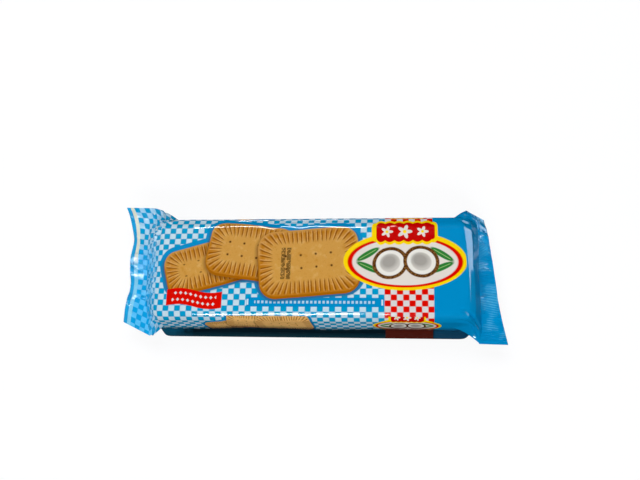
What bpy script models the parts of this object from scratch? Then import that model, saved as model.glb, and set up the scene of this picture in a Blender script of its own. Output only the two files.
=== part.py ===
"""A flow-wrapped packet of coconut biscuits, lying on its back seam, as one closed solid.

The packet is one web of printed film. It is wrapped round a flat block of biscuits, joined by a fin
along the underside, and crimped flat at both ends. The web starts as a flat grid. Each point of the
grid has a place across the girth and a place along the pack, and these two numbers give its point in
space: on the body, on the film that slopes from the body to an end seal, or on the seal itself.

Units are metres. X runs along the pack, with the wide label towards +X. Y runs to the back long side,
and Z is up. The origin is at the middle of the base.
"""

import math

import bmesh
import bpy
from mathutils import Vector

# Driving sizes
OVERALL_LENGTH = 0.2370
OVERALL_WIDTH = 0.0860
BODY_HEIGHT = 0.0260
TOP_CROWN = 0.0010
SEAL_THICKNESS = 0.0006
SEAL_EDGE_TAPER = 0.0020

# Corners of the body's cross-section: y, z and rounding radius, from the back shoulder down and round.
# The slack film at the foot of the front side is folded out into a low lip.
BODY_CORNERS = (
    (0.0325, BODY_HEIGHT, 0.0075),
    (0.0330, 0.0, 0.0030),
    (-0.0390, 0.0, 0.0004),
    (-0.0344, 0.0032, 0.0020),
    (-0.0324, BODY_HEIGHT, 0.0060),
)
ARC_STEPS = 8

# Piles of biscuits that show through the film as shallow swells
PILE_PITCH = 0.0460
PILE_DIP = 0.0005

# The fin of the back seam, folded flat against the underside
FIN_WIDTH = 0.0110
FIN_RECESS = 0.0009
FIN_RECESS_HALF_WIDTH = 0.0150
FIN_PROUD = 0.0006

# Soft creases that run out of the body's corners into the end seals
CREASE_DEPTH = 0.0006
CREASE_COUNT = 15
CREASE_REACH_CELLS = 3
CREASE_LEAN = 2.4

# Grid of the web: cells across the girth, along the body, along each slope and along each seal
GIRTH_CELLS = 84
BODY_CELLS = 34
SLOPE_CELLS = 8
SEAL_CELLS = 6

# Rims of the body that are smoothed: their reach along the pack, and the lowest height
RIM_NEAR = 0.0800
RIM_FAR = 0.1000
RIM_BASE = 0.0060
RIM_SMOOTHING = 2

FILM_COLOUR = (0.0, 0.27, 0.56, 1.0)
FILM_ROUGHNESS = 0.25

MERGE_DISTANCE = 0.00001


def ease(share):
    """A share from 0 to 1 that starts and ends gently."""
    share = min(1.0, max(0.0, share))
    return share * share * (3.0 - 2.0 * share)


def along(knots, place):
    """The point at a place on the smooth curve through knots of (place, coordinates...)."""
    span = max(1, min(len(knots) - 1, sum(1 for knot in knots if knot[0] < place)))
    before = Vector(knots[max(span - 2, 0)])
    start = Vector(knots[span - 1])
    end = Vector(knots[span])
    after = Vector(knots[min(span + 1, len(knots) - 1)])
    width = end[0] - start[0]
    rise_start = (end - before) * (width / (end[0] - before[0]))
    rise_end = (after - start) * (width / (after[0] - start[0]))
    t = (place - start[0]) / width
    curve = start * (2 * t**3 - 3 * t**2 + 1) + rise_start * (t**3 - 2 * t**2 + t)
    curve += end * (3 * t**2 - 2 * t**3) + rise_end * (t**3 - t**2)
    return curve[1:]


class End:
    """One end of the pack. Places across it run from 0 at the back ear to 1 at the front ear."""

    def __init__(self, body, root, edge):
        self.body = body
        self.root_knots = root
        self.edge_knots = edge

    def body_x(self, place):
        return along(self.body, place)[0]

    def root(self, place):
        return Vector(along(self.root_knots, place))

    def edge(self, place):
        return Vector(along(self.edge_knots, place))


HALF_LENGTH = OVERALL_LENGTH / 2
HALF_WIDTH = OVERALL_WIDTH / 2

LEFT_END = End(
    body=((0.0, -0.0800), (0.2, -0.0880), (0.85, -0.0880), (1.0, -0.0865)),
    root=(
        (0.0, -0.1010, 0.0422, 0.0140),
        (0.25, -0.1019, 0.0209, 0.0130),
        (0.5, -0.0998, 0.0008, 0.0140),
        (0.75, -0.0986, -0.0182, 0.0130),
        (1.0, -0.0945, -0.0400, 0.0120),
    ),
    edge=(
        (0.0, -HALF_LENGTH, HALF_WIDTH, 0.0130),
        (0.11, -0.1136, 0.0335, 0.0160),
        (0.27, -0.1123, 0.0220, 0.0100),
        (0.42, -0.1115, 0.0086, 0.0140),
        (0.54, -0.1095, -0.0005, 0.0170),
        (0.66, -0.1103, -0.0095, 0.0110),
        (0.82, -0.1103, -0.0188, 0.0150),
        (1.0, -0.1121, -0.0317, 0.0110),
    ),
)
RIGHT_END = End(
    body=((0.0, 0.0865), (0.2, 0.0950), (0.85, 0.0962), (1.0, 0.0860)),
    root=(
        (0.0, 0.0975, 0.0386, 0.0130),
        (0.12, 0.1036, 0.0300, 0.0115),
        (0.5, 0.1036, -0.0020, 0.0110),
        (0.87, 0.1040, -0.0330, 0.0110),
        (1.0, 0.1026, -0.0428, 0.0110),
    ),
    edge=(
        (0.0, 0.1083, 0.0345, 0.0070),
        (0.14, 0.1101, 0.0240, 0.0095),
        (0.5, 0.1128, -0.0025, 0.0110),
        (0.75, 0.1146, -0.0215, 0.0110),
        (1.0, HALF_LENGTH, -HALF_WIDTH, 0.0100),
    ),
)


def rounded_outline(corners):
    """Points (y, z) round a closed outline whose corners are rounded to their radii."""
    points = []
    for index, (y, z, radius) in enumerate(corners):
        corner = Vector((y, z))
        back = (Vector(corners[index - 1][:2]) - corner).normalized()
        ahead = (Vector(corners[(index + 1) % len(corners)][:2]) - corner).normalized()
        half_angle = back.angle(ahead) / 2
        centre = corner + (back + ahead).normalized() * (radius / math.sin(half_angle))
        from_back = corner + back * (radius / math.tan(half_angle)) - centre
        to_ahead = corner + ahead * (radius / math.tan(half_angle)) - centre
        for step in range(ARC_STEPS + 1):
            points.append(centre + from_back.slerp(to_ahead, step / ARC_STEPS) * radius)
    return points


BODY_OUTLINE = rounded_outline(BODY_CORNERS)


def girth_path():
    """The outline as a run of (length so far, y, z), from the middle of the top round by the back."""
    start = Vector((0.0, BODY_HEIGHT))
    run = [(0.0, start.x, start.y)]
    for here in BODY_OUTLINE + [start]:
        step = math.hypot(here.x - run[-1][1], here.y - run[-1][2])
        run.append((run[-1][0] + step, here.x, here.y))
    return run


GIRTH_PATH = girth_path()
GIRTH = GIRTH_PATH[-1][0]


def section(share):
    """The point (y, z) of the body's cross-section at a share of the girth.

    0 is the middle of the top. Positive shares go down the back and negative ones down the front, and
    both meet at 0.5, under the pack.
    """
    length = share % 1.0 * GIRTH
    for (start, y0, z0), (end, y1, z1) in zip(GIRTH_PATH, GIRTH_PATH[1:]):
        if length <= end:
            part = (length - start) / (end - start) if end > start else 0.0
            return y0 + (y1 - y0) * part, z0 + (z1 - z0) * part
    return 0.0, BODY_HEIGHT


def underside_lift(y):
    """How far the film of the underside stands off the table: the recess, less the folded fin."""
    recess = FIN_RECESS * (1.0 - ease((abs(y) - FIN_RECESS_HALF_WIDTH / 2) / (FIN_RECESS_HALF_WIDTH / 2)))
    under_fin = 0.0 <= y <= FIN_WIDTH
    return recess - (FIN_PROUD if under_fin else 0.0)


def body_point(x, share):
    """The point of the filled body at x along the pack and a share of the girth."""
    y, z = section(share)
    fullness = 1.0 - (x / HALF_LENGTH) ** 4
    swell = TOP_CROWN * fullness - PILE_DIP * math.cos(math.pi * x / PILE_PITCH) ** 8
    if abs(share) < 0.25:
        z += swell * math.cos(2 * math.pi * share) ** 2
    elif z < FIN_PROUD:
        z += underside_lift(y)
    return Vector((x, y, max(0.0, z)))


def across(share):
    """The place from the back ear, 0, to the front ear, 1, of a share of the girth when it lies flat."""
    flat = share if abs(share) <= 0.25 else math.copysign(0.5 - abs(share), share)
    return 0.5 - 2.0 * flat


def seal_point(end, place, share, out):
    """The point of an end seal, out of 1 from its root to its cut edge, on the upper or the lower film."""
    point = end.root(place).lerp(end.edge(place), out)
    from_ear = min(place, 1.0 - place) * OVERALL_WIDTH
    half = SEAL_THICKNESS / 2 * min(1.0, from_ear / SEAL_EDGE_TAPER)
    point.z += half if abs(share) <= 0.25 else -half
    return point


def web_point(along_pack, share):
    """The point of the web at a place along it, counted in cells from the body's middle."""
    end = RIGHT_END if along_pack >= 0 else LEFT_END
    cells = abs(along_pack)
    place = across(share)
    body_end = end.body_x(place)
    half_body = BODY_CELLS / 2
    if cells <= half_body:
        return body_point(body_end * cells / half_body, share)
    if cells <= half_body + SLOPE_CELLS:
        down = (cells - half_body) / SLOPE_CELLS
        start = body_point(body_end, share)
        root = seal_point(end, place, share, 0.0)
        spread = math.sin(math.pi / 2 * down)
        point = start.lerp(root, down)
        point.y = start.y + (root.y - start.y) * spread
        return point
    return seal_point(end, place, share, (cells - half_body - SLOPE_CELLS) / SEAL_CELLS)


def crease(along_pack, share):
    """The height of the creases at the ends of the body: deepest in the slopes, gone in mid-body."""
    start = BODY_CELLS / 2 - CREASE_REACH_CELLS
    end = BODY_CELLS / 2 + SLOPE_CELLS
    part = (abs(along_pack) - start) / (end - start)
    if not 0.0 < part < 1.0:
        return 0.0
    wave = math.sin(2 * math.pi * CREASE_COUNT * share + math.copysign(CREASE_LEAN * part, share))
    return CREASE_DEPTH * math.sin(math.pi * part) ** 2 * wave


def wrap_web():
    """The film as a mesh: a flat grid of cells, wrapped round and joined along the seam."""
    half_cells = BODY_CELLS // 2 + SLOPE_CELLS + SEAL_CELLS
    web = bmesh.new()
    bmesh.ops.create_grid(web, x_segments=2 * half_cells, y_segments=GIRTH_CELLS, size=1.0)
    places = {}
    for vert in web.verts:
        places[vert] = (vert.co.x * half_cells, -vert.co.y / 2)
    for vert, (cells, share) in places.items():
        vert.co = web_point(round(cells), share)
    bmesh.ops.recalc_face_normals(web, faces=web.faces)
    web.normal_update()
    for vert, (cells, share) in places.items():
        vert.co += vert.normal * crease(round(cells), share)
        vert.co.z = max(0.0, vert.co.z)
    bmesh.ops.remove_doubles(web, verts=web.verts, dist=MERGE_DISTANCE)
    return web


def soften_body_ends(web):
    """Rounds the rims where the body turns down to the seals, and leaves the base flat."""
    rims = [
        vert
        for vert in web.verts
        if RIM_NEAR < abs(vert.co.x) < RIM_FAR and vert.co.z > RIM_BASE
    ]
    for _ in range(RIM_SMOOTHING):
        bmesh.ops.smooth_vert(web, verts=rims, factor=0.5, use_axis_x=True, use_axis_y=True, use_axis_z=True)


def close_cut_edges(web):
    """Joins the upper and the lower film along the cut edge of each end seal."""
    open_edges = [edge for edge in web.edges if edge.is_boundary]
    bmesh.ops.holes_fill(web, edges=open_edges, sides=0)
    caps = [face for face in web.faces if len(face.verts) > 4]
    bmesh.ops.triangulate(web, faces=caps)
    bmesh.ops.recalc_face_normals(web, faces=web.faces)


def film_material():
    """The packet's plain blue film, as smooth plastic."""
    material = bpy.data.materials.new("printed_film")
    material.use_nodes = True
    shader = material.node_tree.nodes["Principled BSDF"]
    shader.inputs["Base Color"].default_value = FILM_COLOUR
    shader.inputs["Roughness"].default_value = FILM_ROUGHNESS
    shader.inputs["Metallic"].default_value = 0.0
    return material


def build_pack():
    """The packet as one named object."""
    web = wrap_web()
    soften_body_ends(web)
    close_cut_edges(web)
    mesh = bpy.data.meshes.new("biscuit_pack")
    web.to_mesh(mesh)
    web.free()
    mesh.materials.append(film_material())
    mesh.shade_smooth()
    pack = bpy.data.objects.new("biscuit_pack", mesh)
    bpy.context.scene.collection.objects.link(pack)
    return pack


def main():
    for old in list(bpy.data.objects):
        bpy.data.objects.remove(old)
    build_pack()


main()
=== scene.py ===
"""A flow-wrapped packet of coconut biscuits, lying flat in a plain studio.

The packet is one web of printed film. Every point of the film has a place along the web, u, and a place
across it, q, both in metres and both 0 in the middle of the top. The shapes and the print are worked out
from these two numbers: the sleeve round the biscuits, the slopes down to the ends, the two crimped end
seals and the fin of the back seam.
"""

import logging
import math
from dataclasses import dataclass, field, replace
from enum import Enum
from typing import Any, Iterable, Optional, Union

import bmesh
import bpy
import numpy as np
from mathutils import Matrix, Vector


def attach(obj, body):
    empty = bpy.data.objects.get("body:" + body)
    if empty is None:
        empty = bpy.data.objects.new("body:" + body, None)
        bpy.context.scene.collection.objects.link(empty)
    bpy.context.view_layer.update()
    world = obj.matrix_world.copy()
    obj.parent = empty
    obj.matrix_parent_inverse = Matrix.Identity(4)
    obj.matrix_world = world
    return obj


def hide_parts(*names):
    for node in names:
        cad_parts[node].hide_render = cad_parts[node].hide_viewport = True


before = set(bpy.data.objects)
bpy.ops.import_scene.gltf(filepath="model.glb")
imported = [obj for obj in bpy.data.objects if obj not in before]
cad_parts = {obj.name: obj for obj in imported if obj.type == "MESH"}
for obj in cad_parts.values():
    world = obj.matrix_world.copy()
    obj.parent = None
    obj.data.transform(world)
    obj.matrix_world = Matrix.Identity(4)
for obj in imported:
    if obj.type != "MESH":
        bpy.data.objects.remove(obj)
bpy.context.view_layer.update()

LOG = logging.getLogger("biscuit_packet")

BODY = "root"
NODE = "biscuit_pack"
FILM_MAP = "film"
SEED = 7
MERGE_DISTANCE = 0.00001

# The share of the girth, either way from the middle of the top, that is the packet's upper side
UPPER = 0.25

# How soft the edges of printed shapes are, in millimetres
SHARP_EDGE = 0.22
FINE_EDGE = 0.3
SOFT_EDGE = 0.4

Array = np.ndarray
Number = Union[int, float]
Colour = tuple[float, float, float, float]

WHITE_LIGHT: Colour = (1.0, 1.0, 1.0, 1.0)


def ink(code: int) -> Colour:
    """Turns a screen colour into the linear colour that shaders use.

    Args:
        code: The colour as 0xRRGGBB.

    Returns:
        The linear red, green, blue and an alpha of 1.
    """
    parts = [(code >> shift & 255) / 255 for shift in (16, 8, 0)]
    linear = [part / 12.92 if part <= 0.04045 else ((part + 0.055) / 1.055) ** 2.4 for part in parts]
    return (linear[0], linear[1], linear[2], 1.0)


def ease(share: Array) -> Array:
    """A share from 0 to 1 that starts and ends gently."""
    share = np.clip(share, 0.0, 1.0)
    return share * share * (3.0 - 2.0 * share)


def between(place: Array, start: tuple, end: tuple) -> Array:
    """1 between two soft edges and 0 outside them. Each edge is a place and how far the change takes."""
    return ease((place - start[0]) / start[1]) * (1.0 - ease((place - end[0]) / end[1]))


def either_way(draw: np.random.Generator, span: tuple) -> float:
    """A random height in a range, turned up or down by chance."""
    return draw.choice([-1.0, 1.0]) * draw.uniform(*span)


def along(knots: tuple, place: Array) -> Array:
    """Reads the smooth curve that runs through some knots.

    Args:
        knots: Rows of a place and its coordinates, in order of place.
        place: The places to read.

    Returns:
        The coordinates at each place, in the last axis.
    """
    table = np.array(knots)
    last = len(knots) - 1
    span = np.clip(np.searchsorted(table[:, 0], place, side="left"), 1, last)
    before = table[np.maximum(span - 2, 0)]
    start = table[span - 1]
    end = table[span]
    after = table[np.minimum(span + 1, last)]
    width = (end - start)[..., :1]
    rise_start = (end - before) * (width / (end - before)[..., :1])
    rise_end = (after - start) * (width / (after - start)[..., :1])
    t = (np.asarray(place)[..., None] - start[..., :1]) / width
    curve = start * (2 * t**3 - 3 * t**2 + 1) + rise_start * (t**3 - 2 * t**2 + t)
    curve = curve + end * (3 * t**2 - 2 * t**3) + rise_end * (t**3 - t**2)
    return curve[..., 1:]


class PackEnd(Enum):
    """The two ends of the packet, with the sign of their x."""

    LEFT = -1
    RIGHT = 1


@dataclass(frozen=True)
class EndShape:
    """One end of the packet. Places across it run from 0 at the back ear to 1 at the front ear.

    Attributes:
        body: Rows of place and x, where the full body ends.
        root: Rows of place, x, y and z along the seal's inner edge.
        cut: Rows of place, x, y and z along the seal's cut edge.
        cut_u: Where the cut edge is on the film.
        shoulder: The slope's run and the height it has lost there, both as shares: flatter first, then steep.
        tuck: How far back and how far up the film under the front ear is tucked in, halfway down the slope.
        tuck_edges: The two edges of the tucked film, in shares of the girth towards the front.
        late_ear: How late the front side swings out to its ear: 0 as soon as the back side, 1 near the root.
        late_edges: The two edges of the film that swings out late, in the same shares.
    """

    body: tuple
    root: tuple
    cut: tuple
    cut_u: float
    shoulder: tuple = ((0.0, 0.4, 1.0), (0.0, 0.34, 1.0))
    tuck: tuple[float, float] = (0.0, 0.0)
    tuck_edges: tuple = ((0.24, 0.06), (0.34, 0.10))
    late_ear: float = 0.0
    late_edges: tuple = ((0.15, 0.06), (0.36, 0.12))

    def spread(self, down: Array, share: Array) -> Array:
        """The share of its way across to the seal that the slope has gone, at each share of its run."""
        late = self.late_ear * between(-share, *self.late_edges)
        return np.sin(np.pi / 2 * down) * (1.0 - late) + (1.0 - np.cos(np.pi / 2 * down)) * late

    def fall(self, down: Array) -> Array:
        """The share of its height that the slope has lost, at each share of its run."""
        return np.interp(down, *self.shoulder)

    def tucked(self, down: Array, share: Array) -> Array:
        """How far the film under the front ear is moved, in y and z, at each share of the run and girth."""
        under_ear = between(-share, *self.tuck_edges)
        return (np.sin(np.pi * down) * under_ear)[..., None] * np.array(self.tuck)

    def body_end(self, place: Array) -> Array:
        """The x at which the body ends, at each place."""
        return along(self.body, place)[..., 0]

    def seal_point(self, place: Array, out: Array) -> Array:
        """A point of the seal's middle surface, out of 1 from its root to its cut edge."""
        start = along(self.root, place)
        return start + (along(self.cut, place) - start) * np.asarray(out)[..., None]

    def seal_length(self, place: Array) -> Array:
        """How far the seal reaches from its root to its cut edge, at each place."""
        return np.linalg.norm(along(self.cut, place) - along(self.root, place), axis=-1)

    def seal_u(self, place: Array, out: Array) -> Array:
        """The place along the film of a point of the seal."""
        inward = (1.0 - np.asarray(out)) * self.seal_length(place)
        return self.cut_u - math.copysign(1.0, self.cut_u) * inward


@dataclass(frozen=True)
class Fold:
    """A straight fold of the film: a ridge where its height is over 0, and a valley where it is under.

    Attributes:
        start: Film place u, q of one tip.
        end: Film place u, q of the other tip.
        height: How far the fold stands out at its middle.
        width: How far to its side the fold reaches.
    """

    start: tuple[float, float]
    end: tuple[float, float]
    height: float
    width: float

    def relief(self, u: Array, q: Array) -> Array:
        """Works out how far the fold moves the film out of its surface.

        Args:
            u: The place of each point along the film.
            q: The place of each point across the film.

        Returns:
            The height to add at each point.
        """
        run = np.subtract(self.end, self.start)
        length = float(np.hypot(run[0], run[1]))
        part = ((u - self.start[0]) * run[0] + (q - self.start[1]) * run[1]) / length**2
        off = ((u - self.start[0]) * run[1] - (q - self.start[1]) * run[0]) / length
        fade = np.clip(1.0 - (2.0 * part - 1.0) ** 2, 0.0, 1.0)
        return self.height * fade * np.exp(-((off / self.width) ** 2))


@dataclass(frozen=True)
class Crease:
    """A pinched line of film that winds along the packet.

    Attributes:
        knots: Rows of film place u, q and height along the line, in order of u.
        width: How far to its side the line reaches.
    """

    knots: tuple
    width: float

    def relief(self, u: Array, q: Array) -> Array:
        """Works out how far the crease moves the film out of its surface.

        Args:
            u: The place of each point along the film.
            q: The place of each point across the film.

        Returns:
            The height to add at each point.
        """
        line = along(self.knots, np.clip(u, self.knots[0][0], self.knots[-1][0]))
        off = (q - line[..., 0]) / self.width
        return line[..., 1] * np.exp(-(off**2))


@dataclass
class FilmForm:
    """The packet's form: the body's cross-section and both ends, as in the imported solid.

    Attributes:
        length: The packet's length with both seals.
        height: How high the body's top lies before it swells.
        crown: How far the top swells in its middle.
        pile_pitch: From one pile of biscuits to the next.
        pile_dip: How far the film dips between two piles.
        recess: How deep the fin's recess along the underside is.
        recess_half_width: Half its width.
        arc_steps: Steps round each corner of the cross-section.
        body_cells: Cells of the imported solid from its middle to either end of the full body.
        slope_cells: Cells from there to the seal.
        film_thickness: How thick two films are together.
        seal_width: How wide the film is in a seal.
        corners: Rows of y, z and radius round the cross-section, from the back of the top.
        left: The left end.
        right: The right end.
        path: Rows of the length so far, y and z round the cross-section.
    """

    length: float = 0.2370
    height: float = 0.0260
    crown: float = 0.0010
    pile_pitch: float = 0.0460
    pile_dip: float = 0.0005
    recess: float = 0.0009
    recess_half_width: float = 0.0150
    arc_steps: int = 24
    body_cells: float = 17.0
    slope_cells: float = 8.0
    film_thickness: float = 0.00022
    seal_width: float = 0.0815
    corners: tuple = (
        (0.0245, 0.0260, 0.0085),
        (0.0312, 0.0222, 0.0040),
        (0.0330, 0.0, 0.0030),
        (-0.0390, 0.0, 0.0004),
        (-0.0344, 0.0032, 0.0020),
        (-0.0324, 0.0260, 0.0060),
    )
    left: EndShape = EndShape(
        body=((0.0, -0.0800), (0.2, -0.0880), (0.85, -0.0880), (1.0, -0.0865)),
        root=(
            (0.0, -0.1010, 0.0422, 0.0140),
            (0.25, -0.1019, 0.0209, 0.0130),
            (0.5, -0.0998, 0.0008, 0.0140),
            (0.75, -0.0986, -0.0182, 0.0130),
            (1.0, -0.0945, -0.0400, 0.0120),
        ),
        cut=(
            (0.0, -0.1185, 0.0430, 0.0130),
            (0.11, -0.1136, 0.0335, 0.0160),
            (0.27, -0.1123, 0.0220, 0.0100),
            (0.42, -0.1115, 0.0086, 0.0140),
            (0.54, -0.1095, -0.0005, 0.0170),
            (0.66, -0.1103, -0.0095, 0.0110),
            (0.82, -0.1103, -0.0188, 0.0150),
            (1.0, -0.1121, -0.0317, 0.0110),
        ),
        cut_u=-0.1195,
    )
    right: EndShape = EndShape(
        body=((0.0, 0.0865), (0.2, 0.0940), (0.85, 0.0950), (1.0, 0.0860)),
        root=(
            (0.0, 0.0975, 0.0386, 0.0130),
            (0.12, 0.1036, 0.0300, 0.0115),
            (0.5, 0.1036, -0.0020, 0.0110),
            (0.87, 0.1040, -0.0330, 0.0110),
            (1.0, 0.1026, -0.0428, 0.0110),
        ),
        cut=(
            (0.0, 0.1083, 0.0345, 0.0070),
            (0.14, 0.1101, 0.0240, 0.0095),
            (0.5, 0.1128, -0.0025, 0.0110),
            (0.75, 0.1146, -0.0215, 0.0110),
            (1.0, 0.1185, -0.0430, 0.0100),
        ),
        cut_u=0.1235,
        shoulder=((0.0, 0.5, 1.0), (0.0, 0.17, 1.0)),
        tuck=(0.0020, 0.0010),
        late_ear=1.0,
    )
    path: Array = field(init=False)

    def __post_init__(self) -> None:
        """Works out the run round the cross-section."""
        self.path = self.girth_path()

    @property
    def girth(self) -> float:
        """The length of film round the body."""
        return float(self.path[-1, 0])

    def end(self, side: PackEnd) -> EndShape:
        """The shape of one end."""
        return self.right if side is PackEnd.RIGHT else self.left

    def outline(self) -> list[Vector]:
        """Rounds the corners of the body's cross-section.

        Returns:
            Points (y, z) round it, from the back corner of the top.
        """
        points = []
        for index, (y, z, radius) in enumerate(self.corners):
            corner = Vector((y, z))
            back = (Vector(self.corners[index - 1][:2]) - corner).normalized()
            ahead = (Vector(self.corners[(index + 1) % len(self.corners)][:2]) - corner).normalized()
            half_angle = back.angle(ahead) / 2
            centre = corner + (back + ahead).normalized() * (radius / math.sin(half_angle))
            from_back = corner + back * (radius / math.tan(half_angle)) - centre
            to_ahead = corner + ahead * (radius / math.tan(half_angle)) - centre
            for step in range(self.arc_steps + 1):
                points.append(centre + from_back.slerp(to_ahead, step / self.arc_steps) * radius)
        return points

    def girth_path(self) -> Array:
        """Measures the run round the body, from the middle of the top round by the back.

        Returns:
            Rows of the length so far, y and z.
        """
        start = Vector((0.0, self.height))
        ring = [start] + self.outline() + [start]
        steps = [0.0] + [(b - a).length for a, b in zip(ring, ring[1:])]
        return np.array([(total, point.x, point.y) for total, point in zip(np.cumsum(steps), ring)])

    def body_point(self, x: Array, share: Array) -> Array:
        """Points of the full body.

        Args:
            x: Places along the packet.
            share: Shares of the girth: 0 in the middle of the top, positive down the back, and 0.5
                either way under the packet.

        Returns:
            The points, with x, y and z in the last axis.
        """
        length = share % 1.0 * self.girth
        y = np.interp(length, self.path[:, 0], self.path[:, 1])
        z = np.interp(length, self.path[:, 0], self.path[:, 2])
        fullness = 1.0 - (x / (self.length / 2)) ** 4
        swell = self.crown * fullness - self.pile_dip * np.cos(np.pi * x / self.pile_pitch) ** 8
        top = np.where(np.abs(share) < UPPER, swell * np.cos(2 * np.pi * share) ** 2, 0.0)
        half = self.recess_half_width / 2
        lift = self.recess * (1.0 - ease((np.abs(y) - half) / half))
        under = np.where((np.abs(share) >= UPPER) & (z < self.recess), lift, 0.0)
        return np.stack([x, y, np.maximum(0.0, z + top + under)], axis=-1)

    def place(self, share: Array) -> Array:
        """The place across a seal, from the back ear to the front ear, of a share of the girth."""
        folded = np.copysign(0.5 - np.abs(share), share)
        return 0.5 - 2.0 * np.where(np.abs(share) <= UPPER, share, folded)

    def seal_q(self, place: Array) -> Array:
        """The place across the film of a place across a seal."""
        return (0.5 - place) * self.seal_width

    def web_point(self, cells: Array, share: Array) -> Array:
        """Points of the sleeve.

        Args:
            cells: Places along the packet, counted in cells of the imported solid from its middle.
            share: Shares of the girth.

        Returns:
            The points, with x, y and z in the last axis.
        """
        place = self.place(share)
        points = np.zeros(cells.shape + (3,))
        for side in PackEnd:
            shape = self.end(side)
            count = np.maximum(cells * side.value, 0.0)
            x = shape.body_end(place) * np.minimum(count / self.body_cells, 1.0)
            body = self.body_point(x, share)
            down = np.clip((count - self.body_cells) / self.slope_cells, 0.0, 1.0)
            root = shape.seal_point(place, np.zeros_like(place))
            layer = np.where(np.abs(share) <= UPPER, 1.0, -1.0)
            root[..., 2] += layer * self.film_thickness / 2
            slope = body + (root - body) * down[..., None]
            slope[..., 1] = body[..., 1] + (root - body)[..., 1] * shape.spread(down, share)
            slope[..., 2] = body[..., 2] + (root - body)[..., 2] * shape.fall(down)
            slope[..., 1:] += shape.tucked(down, share)
            on_side = (cells * side.value > 0) | ((cells == 0) & (side is PackEnd.RIGHT))
            points = np.where(on_side[..., None], slope, points)
        return points


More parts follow.
